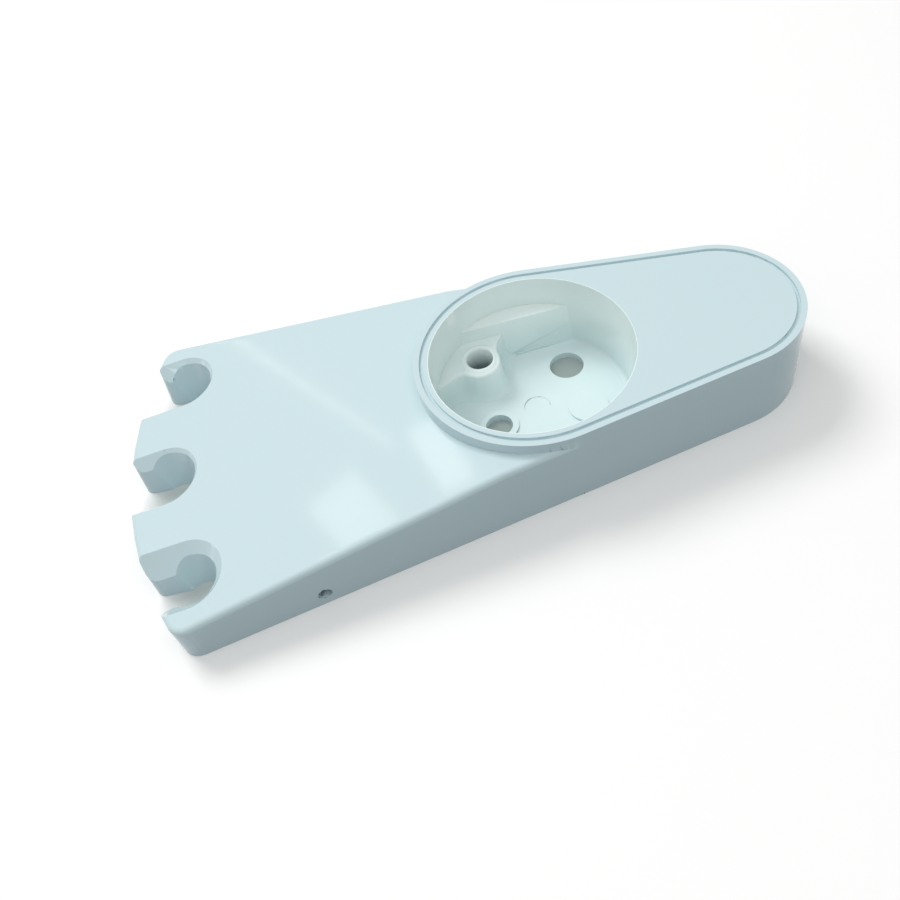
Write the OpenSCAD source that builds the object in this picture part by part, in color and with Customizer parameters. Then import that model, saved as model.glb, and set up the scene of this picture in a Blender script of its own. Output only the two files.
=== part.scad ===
// Dental instrument holder, moulded in one piece: a sloping arm with three C-slots at its wide end, and a
// raised teardrop turret with a channel inside its rim and a round well for the pivot and the hoses.
// Millimetres. The origin is the centre of the underside, +X runs to the turret end and +Z is up.

/* [Body] */
// overall length from the wide end to the turret end
body_len = 205.5; // [195:0.5:220]
// height of the turret rim above the underside
body_h = 27.2; // [25:0.1:30]
// plan radius of the curved wide end
end_r = 120; // [100:1:130]
// height of the arm at the wide end
end_h = 12.2; // [11:0.1:13]
// drop from the rim to the level ledge beside the turret
ledge_drop = 3.5; // [2.5:0.1:4.5]
// rise of the arm top along its length, in degrees
top_slope = 6.1; // [5.5:0.1:7]
// plan radius of the two outer corners at the wide end
corner_r = 5.5; // [4:0.5:8]
// radius of the rounded top edge of the arm
edge_r = 1.8; // [1:0.1:2.2]

/* [Turret] */
// distance from the well axis to the turret end
well_to_nose = 80; // [76:0.5:85]
// radius of the large end of the turret
turret_r = 34.4; // [33.5:0.1:36]
// radius of the small end of the turret
nose_r = 24.9; // [23:0.1:27]
// width of the rim
rim_w = 1.7; // [1.2:0.1:2]
// width of the channel inside the rim
channel_w = 1.1; // [0.8:0.1:1.5]
// depth of the channel inside the rim
channel_d = 0.8; // [0.5:0.1:1.5]

/* [Well] */
// radius of the well at its mouth
well_r = 30; // [28:0.1:30.5]
// draft of the well wall, in degrees
well_draft = 2; // [0.5:0.1:3]
// thickness of the well floor
floor_t = 2.2; // [1.6:0.1:3.5]
// depth of the crescent shelf below the rim
shelf_d = 10.2; // [9:0.1:12]
// distance of the shelf edge from the well axis
shelf_y = 24.2; // [23:0.1:25.5]
// depth of the platform below the rim
platform_d = 14.7; // [13.5:0.1:17]
// radius of the hose hole in the floor
hose_hole_r = 5.35; // [4.5:0.05:5.8]
// radius of the two collared screw holes
screw_hole_r = 4.1; // [3.6:0.05:4.5]
// width of the collars round the screw holes
collar_w = 1.9; // [1.5:0.1:2.2]
// height of the collars above the faces that they stand on
collar_h = 0.5; // [0.3:0.1:0.8]
// radius of the fillet round the floor
foot_r = 1.5; // [0.8:0.1:2]

/* [Slots] */
// distance from the wide end to the axis of the far slot
far_in = 18.2; // [16:0.1:20]
// distance from the middle of the body across to the axis of the far slot
far_y = 37.2; // [36:0.1:38]
// radius of the far seat at the arm top
far_seat_r = 10.3; // [10:0.1:11]
// radius of the far bore, carried up to the arm top
far_bore_r = 9.3; // [9:0.1:9.7]
// width of the far mouth, carried up to the arm top
far_mouth = 13.6; // [12:0.1:15]
// distance from the wide end to the axis of the middle slot
mid_in = 11.2; // [10:0.1:13]
// distance from the middle of the body across to the axis of the middle slot
mid_y = 0.8; // [-1:0.1:1]
// radius of the middle seat at the arm top
mid_seat_r = 10.6; // [10.3:0.1:11.2]
// radius of the middle bore, carried up to the arm top
mid_bore_r = 9.8; // [9.2:0.1:10]
// width of the middle mouth, carried up to the arm top
mid_mouth = 15.6; // [14:0.1:16.5]
// distance from the wide end to the axis of the near slot
near_in = 16.7; // [15:0.1:19]
// distance from the middle of the body across to the axis of the near slot
near_y = 36.1; // [35:0.1:37]
// radius of the near seat at the arm top
near_seat_r = 11.1; // [10.6:0.1:11.5]
// radius of the near bore, carried up to the arm top
near_bore_r = 8.9; // [8.5:0.1:9.6]
// width of the near mouth, carried up to the arm top
near_mouth = 12.2; // [11:0.1:14]
// angle between the seats and the slot axes
seat_angle = 45; // [40:1:50]
// taper of the bores, in degrees from the slot axes
bore_taper = 13.9; // [10:0.1:16]
// draft of the mouth walls, in degrees
mouth_draft = 9.4; // [8:0.1:11]
// radius of the upright prong corners beside the mouths
prong_r = 3.5; // [2:0.1:4]

/* [Side hole] */
// radius of the set screw hole in the front wall
side_hole_r = 2; // [1.5:0.1:2.4]
// distance from the wide end to the set screw hole
side_hole_in = 52.7; // [46:0.1:58]
// height of the set screw hole above the underside
side_hole_z = 4.6; // [4:0.1:5.5]

/* [Underside] */
// thickness of the outer walls
wall = 2.8; // [2.4:0.1:3.4]
// thickness of the tops of the hollows
skin = 2.5; // [2:0.1:3]
// thickness of the ribs
rib_t = 1.8; // [1.4:0.1:2.4]
// number of ribs across the arm
rib_n = 4; // [3:1:6]
// spacing of the ribs
rib_pitch = 18; // [16:0.5:20]

/* [Hidden] */
$fn = 96;
e = 0.01;
plastic = [0.82, 0.9, 0.91];
end_cx = end_r - body_len / 2;
well_x = body_len / 2 - well_to_nose;
nose_x = body_len / 2 - nose_r;
taper = asin((turret_r - nose_r) / (nose_x - well_x));
ledge_z = body_h - ledge_drop;
bend_x = (ledge_z - end_h) / tan(top_slope) - body_len / 2;
panel_inset = rim_w + channel_w;
collar_r = screw_hole_r + collar_w;
hose_hole = [well_x + 13.1, 13.4];
high_hole = [well_x - 13.5, 15.6];
low_hole = [well_x - 13, -3.9];
disc_at = [well_x + 14.7, -5];
disc_r = 6.1;
disc_h = 0.8;
skirt_w = 5;
web_r = 8.8;
shelf_draft = 4.5;
wide_x = -body_len / 2;
mark_r = 4.1;
mark_d = 0.3;
// each slot as the place of its axis, its seat radius, its bore radius and its mouth width
slots = [
    [wide_x + far_in, far_y, far_seat_r, far_bore_r, far_mouth],
    [wide_x + mid_in, mid_y, mid_seat_r, mid_bore_r, mid_mouth],
    [wide_x + near_in, -near_y, near_seat_r, near_bore_r, near_mouth]
];

// height of the arm top at a place along its length
function top_z(x) = x < bend_x ? end_h + (x + body_len / 2) * tan(top_slope) : ledge_z;

// place on the straight side wall, d inside its face and s back from where it leaves the turret
function side_at(d, s) = [
    well_x + (turret_r - d) * sin(taper) - s * cos(taper),
    (turret_r - d) * cos(taper) + s * sin(taper)
];

// distance back along the side wall to the centre of an outer corner of radius r
function corner_back(r) =
    let (p = side_at(r, 0) - [end_cx, 0], b = p[1] * sin(taper) - p[0] * cos(taper))
    sqrt(b * b - p * p + pow(end_r - r, 2)) - b;

// centre of an outer corner
corner_at = side_at(corner_r, corner_back(corner_r));

// half of the arm outline, d inside its face, from the turret round the corner to the middle of the end
function half_outline(d) =
    let (c = corner_at, a0 = 90 - taper, a1 = atan2(c[1], c[0] - end_cx))
    concat(
        [side_at(d, 0.5)],
        [for (i = [0:6]) let (a = a0 + (a1 - a0) * i / 6) c + (corner_r - d) * [cos(a), sin(a)]],
        [for (i = [1:6]) let (a = a1 + (180 - a1) * i / 6) [end_cx, 0] + (end_r - d) * [cos(a), sin(a)]]
    );

// solid arm with its sloping top and rounded top edge
module arm_block() {
    hull() {
        for (side = [-1, 1], p = half_outline(edge_r + 2 * e)) {
            translate([p[0], side * p[1], top_z(p[0]) - edge_r])
                sphere(r = edge_r, $fn = 24);
            translate([p[0], side * p[1], 0])
                cylinder(r = edge_r, h = 1, $fn = 24);
        }
        for (side = [-1, 1])
            translate([bend_x, side * (side_at(edge_r + 2 * e, 0)[1]
                + (side_at(0, 0)[0] - bend_x) * tan(taper)), ledge_z - edge_r])
                sphere(r = edge_r, $fn = 24);
    }
}

// plan of the turret, d inside its face
module teardrop(d) {
    big = turret_r - d;
    small = nose_r - d;
    translate([well_x, 0])
        circle(r = big);
    translate([nose_x, 0])
        circle(r = small);
    polygon([
        [well_x + big * sin(taper), big * cos(taper)],
        [nose_x + small * sin(taper), small * cos(taper)],
        [nose_x + small * sin(taper), -small * cos(taper)],
        [well_x + big * sin(taper), -big * cos(taper)]
    ]);
}

// turret standing up from the underside, with the channel inside its rim
module turret_block() {
    difference() {
        linear_extrude(body_h)
            teardrop(0);
        translate([0, 0, body_h - channel_d])
            linear_extrude(channel_d + 1)
                difference() {
                    teardrop(rim_w);
                    teardrop(panel_inset);
                }
    }
}

// space of one slot grown by g, square to the arm top at its axis and open to the wide end
module slot(s, g) {
    deep = end_h + 8;
    up = 3;
    reach = 30;
    seat = s[2] + g;
    bore = s[3] + g;
    half_w = s[4] / 2 + g;
    seat_deep = (s[2] - s[4] / 2) / (tan(seat_angle) - tan(mouth_draft));
    translate([s[0], s[1], top_z(s[0])])
        rotate([0, -top_slope, 0]) {
            translate([0, 0, -deep])
                cylinder(r1 = bore - deep * tan(bore_taper), r2 = bore + up * tan(bore_taper), h = deep + up);
            translate([0, 0, -seat_deep])
                cylinder(r1 = seat - seat_deep * tan(seat_angle), r2 = seat + up * tan(seat_angle),
                    h = seat_deep + up);
            rotate([90, 0, -90])
                linear_extrude(reach)
                    polygon([
                        [deep * tan(mouth_draft) - half_w, -deep],
                        [half_w - deep * tan(mouth_draft), -deep],
                        [half_w - seat_deep * tan(mouth_draft), -seat_deep],
                        [seat + up * tan(seat_angle), up],
                        [-seat - up * tan(seat_angle), up],
                        [seat_deep * tan(mouth_draft) - half_w, -seat_deep]
                    ]);
        }
}

// rounding of the upright prong corner on one side of a mouth, between its wall and the wide end
module mouth_corner(s, side) {
    half_deep = end_h / 2;
    wall_y = s[1] + side * (s[4] / 2 - half_deep * tan(mouth_draft));
    a = asin(wall_y / end_r);
    n1 = [-sin(mouth_draft) * sin(top_slope), -side * cos(mouth_draft), sin(mouth_draft) * cos(top_slope)];
    n2 = [-cos(a), sin(a), 0];
    upright = side * cross(n1, n2) / norm(cross(n1, n2));
    tilt_x = -asin(upright[1]);
    tilt_y = atan2(upright[0], upright[2]);
    d1 = n1 * [s[0], s[1] + side * s[4] / 2, top_z(s[0])] - n1[2] * half_deep - prong_r;
    d2 = n2 * [end_cx - end_r * cos(a), wall_y, 0] - prong_r;
    det = n1[0] * n2[1] - n1[1] * n2[0];
    u = [cos(tilt_y), 0, -sin(tilt_y)];
    v = [sin(tilt_y) * sin(tilt_x), cos(tilt_x), cos(tilt_y) * sin(tilt_x)];
    t1 = [n1 * u, n1 * v];
    t2 = [n2 * u, n2 * v];
    n = 6;
    turn = acos(t1 * t2);
    arc = [for (i = [0:n]) prong_r * (sin(turn * (1 - i / n)) * t1 + sin(turn * i / n) * t2) / sin(turn)];
    far = prong_r + 1;
    translate([(d1 * n2[1] - d2 * n1[1]) / det, (n1[0] * d2 - n2[0] * d1) / det, half_deep])
        rotate([tilt_x, tilt_y, 0])
            linear_extrude(4 * end_h, center = true)
                polygon(concat(
                    [1.1 * arc[0] - 0.1 * arc[1]],
                    [for (i = [1:n - 1]) arc[i]],
                    [1.1 * arc[n] - 0.1 * arc[n - 1]],
                    [far * t2, far * (t1 + t2) / (1 + t1 * t2), far * t1]));
}

// section of a concave skirt that leaves a wall upright and runs out level, w wide and h high
function skirt(w, h) = [for (i = [0:8]) [w * (1 - cos(i * 11.25)), h * (1 - sin(i * 11.25))]];

// raised platform of the high screw hole, with its skirt down to the well floor
module platform() {
    top = body_h - platform_d - floor_t;
    c = high_hole;
    front_y = c[1] - collar_r + 2;
    web_x = c[0] + collar_r + web_r;
    translate([c[0], c[1], floor_t])
        rotate_extrude()
            polygon(concat([[0, 0], [0, top]],
                [for (p = skirt(skirt_w, top)) p + [collar_r, 0]]));
    translate([c[0], front_y, floor_t])
        rotate([90, 0, -90])
            linear_extrude(well_r)
                polygon(concat([[4, 0], [4, top]], [for (p = skirt(skirt_w, top)) [-p[0], p[1]]]));
    translate([0, 0, e])
        linear_extrude(floor_t + top - e)
            difference() {
                translate([c[0] - well_r, front_y])
                    square([well_r + web_x - c[0], well_r]);
                translate([c[0], front_y - e])
                    square([well_r, c[1] - front_y]);
                translate([web_x, c[1]])
                    circle(r = web_r);
            }
}

// block that carries the crescent shelf, with its drafted front and the fillet at its foot
module shelf_block() {
    top = body_h - shelf_d;
    foot_y = shelf_y - top * tan(shelf_draft);
    rotate([90, 0, 90])
        linear_extrude(2 * well_r, center = true)
            polygon(concat(
                [[well_r + 5, 0], [well_r + 5, top], [shelf_y, top]],
                [for (a = [0:22.5:90])
                    [foot_y - foot_r * (1 - cos(a)), floor_t + foot_r * (1 - sin(a))]],
                [[foot_y - foot_r, 0]]));
}

// open space of the well, from its floor up through the rim
module well_space() {
    low_r = well_r - (body_h - floor_t) * tan(well_draft);
    difference() {
        translate([well_x, 0])
            rotate_extrude()
                polygon(concat(
                    [[0, body_h + 1], [0, floor_t]],
                    [for (a = [90:-22.5:0])
                        [low_r - foot_r * (1 - cos(a)), floor_t + foot_r * (1 - sin(a))]],
                    [[well_r, body_h], [well_r, body_h + 1]]));
        translate([well_x, 0])
            shelf_block();
        platform();
        for (p = [[high_hole, body_h - platform_d], [low_hole, floor_t]])
            translate([p[0][0], p[0][1], 0])
                cylinder(r1 = collar_r, r2 = collar_r, h = p[1] + collar_h);
        translate([disc_at[0], disc_at[1], 0])
            cylinder(r = disc_r, h = floor_t + disc_h);
    }
    translate([well_x, 0, floor_t - mark_d])
        cylinder(r = mark_r, h = mark_d + 1);
}

// hollow under the arm, between the walls of the slots, the well and the outside
module arm_hollow() {
    difference() {
        intersection() {
            translate([0, 0, -1])
                linear_extrude(body_h)
                    difference() {
                        polygon(concat(half_outline(wall),
                            [for (i = [13:-1:0]) [half_outline(wall)[i][0], -half_outline(wall)[i][1]]]));
                        translate([well_x, 0])
                            circle(r = well_r + wall);
                        for (i = [0:rib_n - 1])
                            translate([wide_x, (i - (rib_n - 1) / 2) * rib_pitch - rib_t / 2])
                                square([body_len, rib_t]);
                    }
            rotate([90, 0, 0])
                linear_extrude(body_len, center = true)
                    polygon([
                        [wide_x, -1], [wide_x, end_h - skin], [bend_x, ledge_z - skin],
                        [nose_x, ledge_z - skin], [nose_x, -1]
                    ]);
        }
        for (s = slots)
            slot(s, wall);
    }
}

// hollow under the panel at the narrow end
module nose_hollow() {
    translate([0, 0, -1])
        linear_extrude(body_h - channel_d - skin + 1)
            difference() {
                teardrop(wall);
                translate([well_x, 0])
                    circle(r = well_r + wall);
                translate([well_x - body_len, -body_len / 2])
                    square([body_len, body_len]);
                for (side = [-1, 1])
                    translate([well_x, (side * rib_pitch - rib_t) / 2])
                        square([body_len, rib_t]);
            }
}

// set screw hole through the front wall, square to it
module side_hole() {
    back = (side_at(0, 0)[0] - wide_x - side_hole_in) / cos(taper);
    p = side_at(0, back);
    translate([p[0], -p[1], side_hole_z])
        rotate([90, 0, -taper]) {
            translate([0, 0, -wall - 1])
                cylinder(r = side_hole_r, h = wall + 2);
            translate([0, 0, -0.3])
                cylinder(r1 = side_hole_r, r2 = side_hole_r + 0.4, h = 0.4);
        }
}

module body() {
    color(plastic)
        difference() {
            union() {
                arm_block();
                turret_block();
            }
            for (s = slots)
                slot(s, 0);
            for (s = slots, side = [-1, 1])
                mouth_corner(s, side);
            well_space();
            arm_hollow();
            nose_hollow();
            side_hole();
            for (p = [[hose_hole, hose_hole_r], [high_hole, screw_hole_r], [low_hole, screw_hole_r]])
                translate([p[0][0], p[0][1], -1])
                    cylinder(r = p[1], h = body_h);
        }
}

body();
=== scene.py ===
"""Dental instrument holder: a one-piece glossy moulding, shown on a pale floor."""

import math

import bmesh
import bpy
import numpy as np
from mathutils import Matrix, Vector
from mathutils.geometry import tessellate_polygon


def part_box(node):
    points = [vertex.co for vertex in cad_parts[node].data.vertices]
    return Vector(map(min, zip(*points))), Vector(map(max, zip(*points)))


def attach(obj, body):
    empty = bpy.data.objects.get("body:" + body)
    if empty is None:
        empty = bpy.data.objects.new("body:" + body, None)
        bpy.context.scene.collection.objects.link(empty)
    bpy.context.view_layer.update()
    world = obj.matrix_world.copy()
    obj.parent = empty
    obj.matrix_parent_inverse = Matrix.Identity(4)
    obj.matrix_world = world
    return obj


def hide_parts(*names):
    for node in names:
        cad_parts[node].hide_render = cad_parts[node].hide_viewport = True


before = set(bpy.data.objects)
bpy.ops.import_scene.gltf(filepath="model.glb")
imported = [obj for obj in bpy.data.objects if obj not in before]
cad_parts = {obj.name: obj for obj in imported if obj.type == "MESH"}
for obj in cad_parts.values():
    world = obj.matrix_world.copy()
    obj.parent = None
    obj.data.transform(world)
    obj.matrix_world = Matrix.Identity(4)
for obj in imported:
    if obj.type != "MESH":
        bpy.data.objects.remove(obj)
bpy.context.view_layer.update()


# Camera
# It stands in front of the long side and looks down at it, turned a little about its own axis, as the
# photograph was taken. Its place is measured from the middle of the well's mouth.
mm = 0.001
high_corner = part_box("body")[1]
well_to_nose = 80 * mm
well_mouth = Vector((high_corner[0] - well_to_nose, 0, high_corner[2]))
camera_from_well = Vector((-30.9, -184.0, 197.7)) * mm
camera_azimuth = math.radians(-0.45)
camera_elevation = math.radians(51.67)
camera_roll = math.radians(-14.22)
camera_lens = 37.5
camera_sensor = 36

backward = Vector((
    math.sin(camera_azimuth) * math.cos(camera_elevation),
    -math.cos(camera_azimuth) * math.cos(camera_elevation),
    math.sin(camera_elevation),
))
sideways = Vector((math.cos(camera_azimuth), math.sin(camera_azimuth), 0))
level_view = Matrix((sideways, backward.cross(sideways), backward)).transposed()
rolled_view = level_view @ Matrix.Rotation(camera_roll, 3, "Z")
camera_data = bpy.data.cameras.new("camera")
camera_data.lens = camera_lens
camera_data.sensor_width = camera_sensor
camera = bpy.data.objects.new("camera", camera_data)
camera.matrix_world = Matrix.Translation(well_mouth + camera_from_well) @ rolled_view.to_4x4()
bpy.context.scene.collection.objects.link(camera)
bpy.context.scene.camera = camera
bpy.context.scene.view_settings.view_transform = "Standard"


# Moulded body
# One injection-moulded piece of glossy pale plastic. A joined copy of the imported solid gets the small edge
# radii that a mould leaves and the fillet round the turret's foot. The platform in the well is taken down
# to the floor in that copy, because the next section makes it with its soft edges.
turret_r = 34.4 * mm
nose_r = 24.9 * mm
ledge_drop = 3.5 * mm
foot_fillet = 1.3 * mm
rim_round = 0.45 * mm
lip_round = 0.4 * mm
plain_round = 0.22 * mm
channel_round = 0.12 * mm
channel_zone = (1.2 * mm, 3.4 * mm)
well_mouth_r = 30 * mm
floor_top = high_corner[2] - 25 * mm
foot_round = 1.5 * mm
wall_foot = 2.6 * mm
platform_top = high_corner[2] - 14.7 * mm
collar_room = 1 * mm
web_end = 7.3 * mm
skirt_start = 3 * mm
shelf_top = high_corner[2] - 10.2 * mm
shelf_front = 24.2 * mm
shelf_foot = 21 * mm
shelf_lean = math.tan(math.radians(4.5))
join_gap = 0.001 * mm
touch = 0.1 * mm
same_plane = 0.125 * mm
same_line = 0.25 * mm
flat_angle = math.radians(0.4)
flat_area = 150 * mm * mm
round_from, round_full = math.radians(22), math.radians(55)


def turret_reach(x, y):
    """Distance of a plan point outside the two end circles of the turret and their common tangents."""
    well_x, small_x = well_mouth.x, high_corner[0] - nose_r
    lean = (turret_r - nose_r) / (small_x - well_x)
    along, across = x - well_x, abs(y)
    foot = along + across * lean / math.sqrt(1 - lean * lean)
    if foot <= 0:
        return math.hypot(along, across) - turret_r
    if foot >= small_x - well_x:
        return math.hypot(x - small_x, across) - nose_r
    return across * math.sqrt(1 - lean * lean) + along * lean - turret_r


def edge_round(edge):
    """Radius that the mould leaves on one edge, from where the edge is and how sharp it is."""
    bend = edge.calc_face_angle(0)
    if bend < round_from:
        return 0
    middle = (edge.verts[0].co + edge.verts[1].co) / 2
    outside = turret_reach(middle.x, middle.y)
    from_well = math.hypot(middle.x - well_mouth.x, middle.y)
    at_rim = middle.z > high_corner[2] - ledge_drop / 2
    if not edge.is_convex and abs(outside) < same_line and not at_rim:
        share = min(1, (bend - round_from) / (round_full - round_from))
        return foot_fillet * share
    if at_rim and abs(from_well - well_mouth_r) < same_line:
        return lip_round
    if at_rim and abs(outside) < same_line:
        return rim_round
    if at_rim and -channel_zone[1] < outside < -channel_zone[0]:
        return channel_round
    return plain_round


cad_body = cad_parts["body"]
shape = bmesh.new()
shape.from_mesh(cad_body.data)
bmesh.ops.remove_doubles(shape, verts=shape.verts, dist=join_gap)
for corner in shape.verts:
    along, across, height = corner.co.x - well_mouth.x, corner.co.y, corner.co.z
    from_well = math.hypot(along, across)
    at_platform = along < web_end and across > skirt_start and from_well < well_mouth_r - touch
    above_foot = height > floor_top + foot_round + touch
    clear_of_wall = from_well < well_mouth_r - wall_foot and (across < shelf_foot or along < 0)
    on_shelf = abs(across - shelf_front + (shelf_top - height) * shelf_lean) < same_plane
    if not at_platform or height > platform_top + collar_room:
        continue
    if on_shelf and above_foot:
        corner.co.z = floor_top + foot_round
        corner.co.y -= (height - corner.co.z) * shelf_lean
    elif above_foot or clear_of_wall:
        corner.co.z = min(height, floor_top)
bmesh.ops.dissolve_degenerate(shape, edges=shape.edges, dist=join_gap)
bmesh.ops.dissolve_limit(shape, angle_limit=flat_angle, verts=shape.verts, edges=shape.edges)
weights = shape.edges.layers.float.new("bevel_weight_edge")
for edge in shape.edges:
    edge[weights] = edge_round(edge) / foot_fillet
for face in shape.faces:
    face.smooth = face.calc_area() < flat_area
body_mesh = bpy.data.meshes.new("moulded_body")
shape.to_mesh(body_mesh)
shape.free()
body = bpy.data.objects.new("moulded_body", body_mesh)
bpy.context.scene.collection.objects.link(body)
rounding = body.modifiers.new("edge_radii", "BEVEL")
rounding.limit_method = "WEIGHT"
rounding.width = foot_fillet
rounding.segments = 3
rounding.use_clamp_overlap = True
steady = body.modifiers.new("flat_faces", "WEIGHTED_NORMAL")
steady.keep_sharp = True
steady.weight = 100
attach(body, "root")
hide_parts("body")


class Field:
    """A number over a surface. Python's operators on it add the Math nodes that work it out."""

    def __init__(self, tree, socket):
        self.tree = tree
        self.socket = socket

    def reckon(self, operation, *values):
        node = self.tree.nodes.new("ShaderNodeMath")
        node.operation = operation
        for slot, value in zip(node.inputs, values):
            if isinstance(value, Field):
                self.tree.links.new(value.socket, slot)
            else:
                slot.default_value = value
        return Field(self.tree, node.outputs[0])

    def __add__(self, other):
        return self.reckon("ADD", self, other)

    def __radd__(self, other):
        return self.reckon("ADD", other, self)

    def __sub__(self, other):
        return self.reckon("SUBTRACT", self, other)

    def __rsub__(self, other):
        return self.reckon("SUBTRACT", other, self)

    def __mul__(self, other):
        return self.reckon("MULTIPLY", self, other)

    def __rmul__(self, other):
        return self.reckon("MULTIPLY", other, self)

    def __gt__(self, other):
        return self.reckon("GREATER_THAN", self, other)

    def __lt__(self, other):
        return self.reckon("LESS_THAN", self, other)


def add_node(tree, kind, settings, values):
    """Add one node: its settings first, then the values or links of its sockets by name or number."""
    node = tree.nodes.new(kind)
    for name, value in settings.items():
        setattr(node, name, value)
    for name, value in values.items():
        if isinstance(value, Field):
            tree.links.new(value.socket, node.inputs[name])
        elif isinstance(value, bpy.types.NodeSocket):
            tree.links.new(value, node.inputs[name])
        else:
            node.inputs[name].default_value = value
    return node


def noise(tree, place, scale, detail):
    """Cloudy number from 0 to 1 at the object's own coordinates, with scale blotches to the metre."""
    node = add_node(tree, "ShaderNodeTexNoise", {}, {"Vector": place, "Scale": scale, "Detail": detail})
    return Field(tree, node.outputs["Fac"])


plastic_colour = (0.60, 0.745, 0.775, 1)
plastic_shade = (0.585, 0.73, 0.765, 1)
# Painted light: inside the well the plastic gets a paler colour, more so up the walls than on the floor,
# standing in for the light that fills the well.
well_painted_light = (0.84, 0.935, 0.915, 1)
well_painted_light_low, well_painted_light_rise = 0.35, 36
well_painted_light_r = well_mouth_r + 0.2 * mm
speck_colour = (0.30, 0.36, 0.36, 1)
speck_pitch, speck_size = 40, 0.011
plastic_ior = 1.49
gloss, gloss_flow, gloss_haze = 0.055, 0.03, 0.015
swell_height = 0.06 * mm
grain_height = 0.0006 * mm
plastic = bpy.data.materials.new("gloss_plastic")
plastic.use_nodes = True
tree = plastic.node_tree
surface = tree.nodes["Principled BSDF"]
surface.inputs["IOR"].default_value = plastic_ior
place = add_node(tree, "ShaderNodeTexCoord", {}, {}).outputs["Object"]
flow = noise(tree, place, 22, 3)
haze = noise(tree, place, 260, 2)
grain = noise(tree, place, 2600, 1)
tint = add_node(tree, "ShaderNodeMix", {"data_type": "RGBA"}, {
    "Factor": flow, "A": plastic_colour, "B": plastic_shade})
cells = add_node(tree, "ShaderNodeTexVoronoi", {"feature": "F1"}, {
    "Vector": place, "Scale": speck_pitch})
speck = Field(tree, cells.outputs["Distance"]) < speck_size
axes = add_node(tree, "ShaderNodeSeparateXYZ", {}, {"Vector": place})
along = Field(tree, axes.outputs["X"]) - well_mouth.x
across = Field(tree, axes.outputs["Y"])
# Painted light mask: share of the paler well colour inside the well's mouth, growing with height.
painted_well_light = (along * along + across * across) < well_painted_light_r ** 2
painted_well_light = painted_well_light * (well_painted_light_low + well_painted_light_rise * Field(tree, axes.outputs["Z"]))
painted_light_mix = add_node(tree, "ShaderNodeMix", {"data_type": "RGBA"}, {
    "Factor": painted_well_light, "A": tint.outputs["Result"], "B": well_painted_light})
specked = add_node(tree, "ShaderNodeMix", {"data_type": "RGBA"}, {
    "Factor": speck, "A": painted_light_mix.outputs["Result"], "B": speck_colour})
tree.links.new(specked.outputs["Result"], surface.inputs["Base Color"])
tree.links.new((gloss + gloss_flow * flow + gloss_haze * haze).socket, surface.inputs["Roughness"])
swell = noise(tree, place, 14, 1)
height = swell_height * swell + grain_height * grain
wave = add_node(tree, "ShaderNodeBump", {}, {"Strength": 1.0, "Distance": 1.0, "Height": height})
tree.links.new(wave.outputs["Normal"], surface.inputs["Normal"])
body_mesh.materials.clear()
body_mesh.materials.append(plastic)


# Well platform
# The raised part of the well's floor round the high screw hole, moulded with the body. Its front rolls over
# a soft edge and falls to the floor along the collar of the hole, and a hollow web joins it to the shelf.
# Its sizes are in millimetres from the middle of the well.
hole_middle = np.array((-13.5, 15.6))
hole_r = 4.12
collar_r = 6.05
collar_margin = 0.2
foot_tuck = 0.1
below_floor = 1.0
rim_steps = 8
rim_ease = 6
fall_even, fall_flare = 0.3, 6
# each place on the rim: x and y of the edge, x and y of the foot below it, radius of the edge
platform_rim = np.array((
    (-28.6, 8.2, -28.6, 7.0, 0.7), (-25.4, 9.6, -25.2, 8.4, 1.0), (-22.0, 11.0, -22.2, 9.1, 1.0),
    (-19.9, 11.3, -19.9, 8.7, 1.0), (-18.2, 10.2, -18.0, 7.7, 1.0), (-16.0, 8.9, -15.6, 6.8, 1.0),
    (-13.5, 8.5, -13.2, 6.3, 1.0), (-10.9, 9.0, -10.3, 6.5, 1.0), (-8.6, 10.7, -7.2, 8.0, 1.0),
    (-7.5, 13.0, -5.2, 10.6, 1.0), (-7.3, 15.8, -4.2, 13.8, 1.0), (-7.4, 18.6, -3.6, 17.2, 0.9),
    (-6.4, 21.4, -2.6, 20.6, 0.6), (-4.6, 23.4, -0.9, 23.2, 0.3), (-3.6, 24.6, 0.6, 24.8, 0.1),
    (-8.0, 25.2, -8.0, 25.2, 0.1), (-13.5, 25.4, -13.5, 25.4, 0.1), (-16.8, 24.7, -16.8, 24.7, 0.1),
    (-19.5, 22.6, -19.5, 22.6, 0.1), (-22.9, 19.2, -22.9, 19.2, 0.1), (-25.9, 15.0, -25.9, 15.0, 0.1),
    (-27.9, 11.0, -27.9, 11.0, 0.2)))
collar_profile = ((4.12, 0.05), (4.35, 0.36), (4.8, 0.5), (5.3, 0.48), (5.75, 0.27), (6.05, 0.02))


def ring_curve(points, steps):
    """Closed cubic curve through the points that leaves each along the line between its neighbours."""
    before, after = np.roll(points, 1, axis=0), np.roll(points, -1, axis=0)
    later = np.roll(points, -2, axis=0)
    share = (np.arange(steps) / steps)[None, :, None]
    here, there = points[:, None], after[:, None]
    bend = (there - before[:, None]) / 2
    next_bend = (later[:, None] - here) / 2
    curve = (here + bend * share + (3 * (there - here) - 2 * bend - next_bend) * share ** 2
             + (2 * (here - there) + bend + next_bend) * share ** 3)
    return curve.reshape(-1, points.shape[1])


def settle(values, rounds):
    """Values round a ring, each made the mean of itself twice and its two neighbours, over and over."""
    for _ in range(rounds):
        values = (np.roll(values, 1, axis=0) + 2 * values + np.roll(values, -1, axis=0)) / 4
    return values


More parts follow.
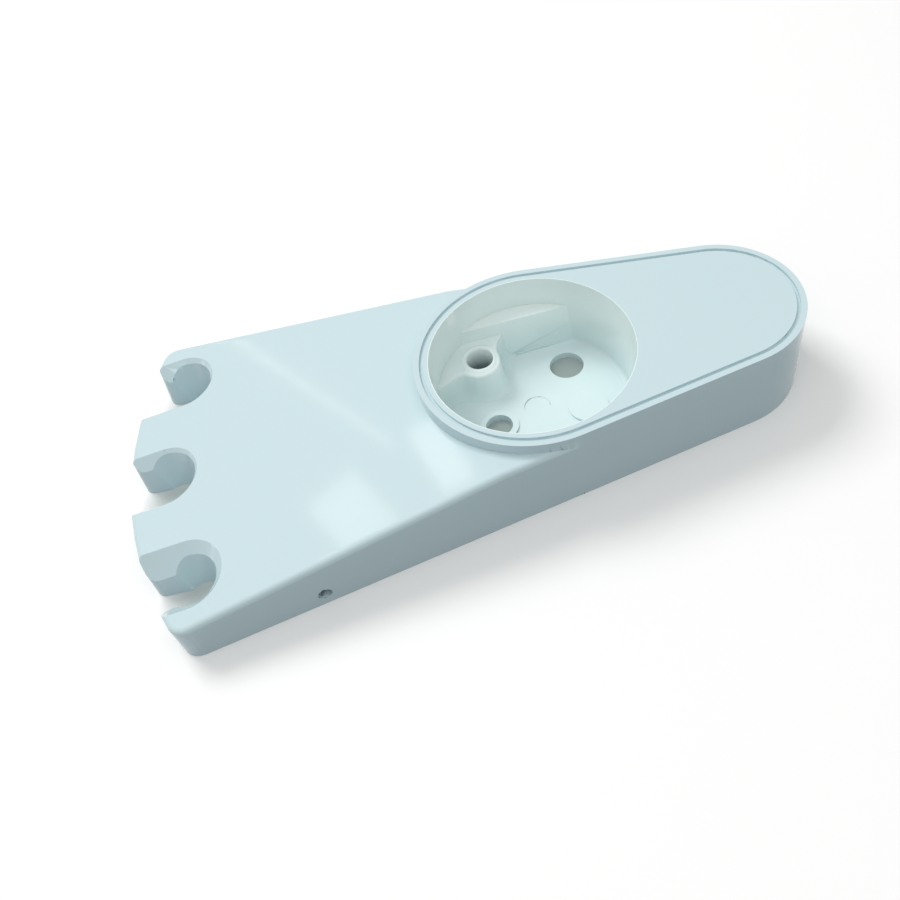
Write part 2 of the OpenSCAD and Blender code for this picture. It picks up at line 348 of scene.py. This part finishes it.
curve = ring_curve(platform_rim, rim_steps)
edge_line, foot_line, edge_roll = curve[:, :2], curve[:, 2:4], curve[:, 4:]
tangent = settle(np.roll(edge_line, -1, axis=0) - np.roll(edge_line, 1, axis=0), rim_ease)
tangent /= np.linalg.norm(tangent, axis=1)[:, None]
outward = np.stack((tangent[:, 1], -tangent[:, 0]), axis=1)
inner_edge = edge_line - outward * edge_roll
count = len(edge_line)
turns = np.arange(count) * math.tau / count
ray = np.column_stack((np.cos(turns), np.sin(turns)))
reach = inner_edge - hole_middle
reach_turn, reach_length = np.arctan2(reach[:, 1], reach[:, 0]), np.linalg.norm(reach, axis=1)
room = np.interp(turns, reach_turn, reach_length, period=math.tau)
narrow = np.minimum(1, (room - collar_margin - hole_r) / (collar_r - hole_r))[:, None]
drop = (platform_top - floor_top) / mm
rows = [(hole_middle + ray * hole_r, -drop - below_floor)]
for radius, lift in collar_profile:
    rows.append((hole_middle + ray * (hole_r + (radius - hole_r) * narrow), lift))
flat_row = len(rows)
for turn in np.radians((0, 18, 36, 54, 72, 90)):
    rows.append((inner_edge + outward * edge_roll * math.sin(turn), -edge_roll * (1 - math.cos(turn))))
for share in (0.2, 0.4, 0.6, 0.75, 0.85, 0.92, 0.97, 1.0):
    lean = fall_even * share + (1 - fall_even) * share ** fall_flare
    rows.append((edge_line + (foot_line - edge_line) * lean, -edge_roll - (drop - edge_roll) * share))
tucked = foot_line + (foot_line - edge_line) * foot_tuck
rows += [(tucked, -drop - foot_tuck), (tucked, -drop - below_floor)]
points = np.concatenate([
    np.column_stack((places, np.broadcast_to(height, (count, 1)))) for places, height in rows]) * mm
points += (well_mouth.x, 0, platform_top)
step = np.arange(count)
after = np.roll(step, -1)
band = np.array([row for row in range(len(rows) - 1) if row + 1 != flat_row])[:, None] * count
faces = np.stack((
    band + step, band + count + step, band + count + after, band + after), axis=-1).reshape(-1, 4).tolist()
for outer_row, inner_row, facing in ((flat_row, flat_row - 1, 1), (len(rows) - 1, 0, -1)):
    index = np.concatenate((outer_row * count + step, inner_row * count + step))
    loops = [[Vector(point) for point in points[row]] for row in (index[:count], index[count:])]
    corners = index[np.array(tessellate_polygon(loops))]
    side, other = (points[corners[:, place], :2] - points[corners[:, 0], :2] for place in (1, 2))
    area = (side[:, 0] * other[:, 1] - side[:, 1] * other[:, 0]).sum() * facing
    faces += (corners if area > 0 else corners[:, ::-1]).tolist()
platform_mesh = bpy.data.meshes.new("well_platform")
platform_mesh.from_pydata(points.tolist(), [], faces)
platform_mesh.polygons.foreach_set("use_smooth", [True] * len(faces))
platform_mesh.materials.append(plastic)
platform = bpy.data.objects.new("well_platform", platform_mesh)
bpy.context.scene.collection.objects.link(platform)
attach(platform, "root")


# Floor
# A matt pale table. The camera and the reflections see it white, and it keeps the soft shadow. Below the
# well's holes and at the closed ends of the slots it is darkened with painted shade, and it throws little
# light at the walls.
floor_reach = 1.6
floor_level = -0.03 * mm
# Painted shade: the table is darker where it is seen through the well's holes and at the slots' closed ends.
turret_shade = 31 * mm
slot_shade = ((-0.0845, 0.0372), (-0.0915, 0.0008), (-0.086, -0.0361))
slot_shade_r = 13 * mm
slot_shade_share = 0.8
table_colour = (0.92, 0.92, 0.915, 1)
shaded_colour = (0.30, 0.365, 0.35, 1)
bounce_colour = (0.20, 0.255, 0.29, 1)
table_glow = 0.05
floor_mesh = bpy.data.meshes.new("floor")
floor_mesh.from_pydata(
    [(-floor_reach, -floor_reach, floor_level), (floor_reach, -floor_reach, floor_level),
     (floor_reach, floor_reach, floor_level), (-floor_reach, floor_reach, floor_level)],
    [], [(0, 1, 2, 3)])
floor = bpy.data.objects.new("floor", floor_mesh)
bpy.context.scene.collection.objects.link(floor)
paper = bpy.data.materials.new("matt_table")
paper.use_nodes = True
tree = paper.node_tree
tree.nodes.clear()
rays = add_node(tree, "ShaderNodeLightPath", {}, {})
seen = Field(tree, rays.outputs["Is Camera Ray"]) + Field(tree, rays.outputs["Is Glossy Ray"])
seen = (seen + Field(tree, rays.outputs["Is Transmission Ray"])) > 0.5
glow = add_node(tree, "ShaderNodeEmission", {}, {"Color": (1, 1, 1, 1), "Strength": table_glow})
under = add_node(tree, "ShaderNodeTexCoord", {}, {}).outputs["Object"]
axes = add_node(tree, "ShaderNodeSeparateXYZ", {}, {"Vector": under})
along, across = Field(tree, axes.outputs["X"]), Field(tree, axes.outputs["Y"])
from_well = along - well_mouth.x
# Painted shade mask: under the turret, and fading out round each slot's closed end.
below = (from_well * from_well + across * across) < turret_shade ** 2
for slot_x, slot_y in slot_shade:
    from_slot, beside_slot = along - slot_x, across - slot_y
    near = 1 - (from_slot * from_slot + beside_slot * beside_slot) * (1 / slot_shade_r ** 2)
    below = below + slot_shade_share * near * (near > 0)
pale = add_node(tree, "ShaderNodeBsdfDiffuse", {}, {"Color": table_colour})
shaded = add_node(tree, "ShaderNodeBsdfDiffuse", {}, {"Color": shaded_colour})
table = add_node(tree, "ShaderNodeMixShader", {}, {0: below, 1: pale.outputs[0], 2: shaded.outputs[0]})
both = add_node(tree, "ShaderNodeAddShader", {}, {0: glow.outputs[0], 1: table.outputs[0]})
bounce = add_node(tree, "ShaderNodeBsdfDiffuse", {}, {"Color": bounce_colour})
choice = add_node(tree, "ShaderNodeMixShader", {}, {0: seen, 1: bounce.outputs[0], 2: both.outputs[0]})
add_node(tree, "ShaderNodeOutputMaterial", {}, {"Surface": choice.outputs[0]})
floor_mesh.materials.append(paper)


# Studio light
# An even sky, a softbox high behind the far side that throws the shadow, a wide lamp above the near side,
# and two window panes and a strip that show in the gloss of the arm.
sky_level = 0.47
sky = bpy.data.worlds.new("studio")
sky.use_nodes = True
sky.node_tree.nodes["Background"].inputs["Color"].default_value = (1, 1, 1, 1)
sky.node_tree.nodes["Background"].inputs["Strength"].default_value = sky_level
bpy.context.scene.world = sky


def hang_lamp(name, place, aim, width, depth, radiance, in_gloss):
    """Hang a rectangular lamp that shines from place to aim, with its radiance in units of white."""
    data = bpy.data.lights.new(name, "AREA")
    data.shape = "RECTANGLE"
    data.size = width
    data.size_y = depth
    data.energy = radiance * math.pi * width * depth
    lamp = bpy.data.objects.new(name, data)
    lamp.location = place
    lamp.rotation_mode = "QUATERNION"
    lamp.rotation_quaternion = (Vector(place) - Vector(aim)).to_track_quat("Z", "Y")
    lamp.visible_glossy = in_gloss
    bpy.context.scene.collection.objects.link(lamp)


hang_lamp("softbox", (-0.60, 0.85, 1.30), (0, 0, 0), 0.7, 0.7, 9.0, False)
hang_lamp("overhead", (0.0, -0.42, 1.05), (0, 0, 0), 1.2, 1.2, 0.85, False)
hang_lamp("window_left", (-0.395, 0.715, 1.0), (-0.03, -0.03, 0), 0.10, 0.12, 2.4, True)
hang_lamp("window_right", (-0.228, 0.764, 1.0), (-0.03, -0.03, 0), 0.06, 0.12, 3.2, True)
hang_lamp("strip", (-0.455, 1.05, 1.0), (0.40, 0.30, 0), 0.009, 0.42, 3.6, True)
